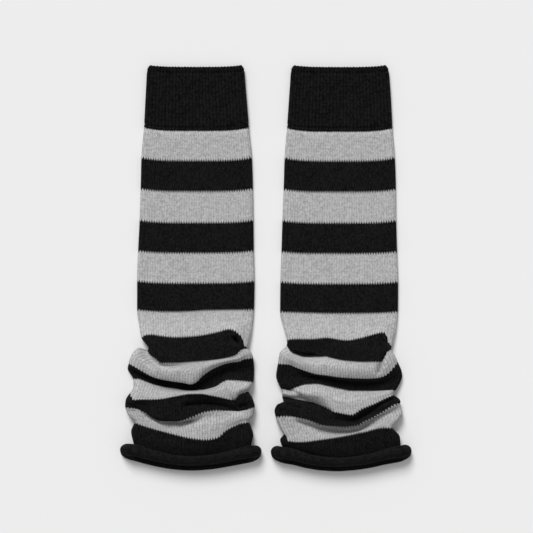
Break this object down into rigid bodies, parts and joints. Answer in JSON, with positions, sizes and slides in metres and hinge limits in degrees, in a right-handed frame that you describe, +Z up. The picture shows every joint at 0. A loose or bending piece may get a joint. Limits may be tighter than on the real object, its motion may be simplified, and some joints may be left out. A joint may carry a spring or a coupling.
{
  "type": "pair of leg warmers",
  "caption": "Striped knitted leg warmers with a ribbed cuff and a rolled hem, lying flat and slouched into folds at the ankle end.",
  "frame": {"origin": "on the surface they lie on, under the middle of the pair", "axes": "+Z up from the surface, +Y along the legs towards the cuffs, +X to the right seen from above with the cuffs away from the viewer"},
  "size_m": [0.2914, 0.4082, 0.0179],
  "materials": {
    "black_rib": "black yarn in a 1 by 1 rib, matt with a faint soft sheen",
    "striped_jersey": "plain jersey in even stripes of heathered grey and black yarn, matt",
    "black_jersey": "black yarn in plain jersey, reverse side out on the curl, matt"
  },
  "bodies": {
    "root": {"left_cuff": "black_rib", "left_leg": "striped_jersey", "left_hem": "black_jersey", "right_cuff": "black_rib", "right_leg": "striped_jersey", "right_hem": "black_jersey"}
  },
  "joints": []
}
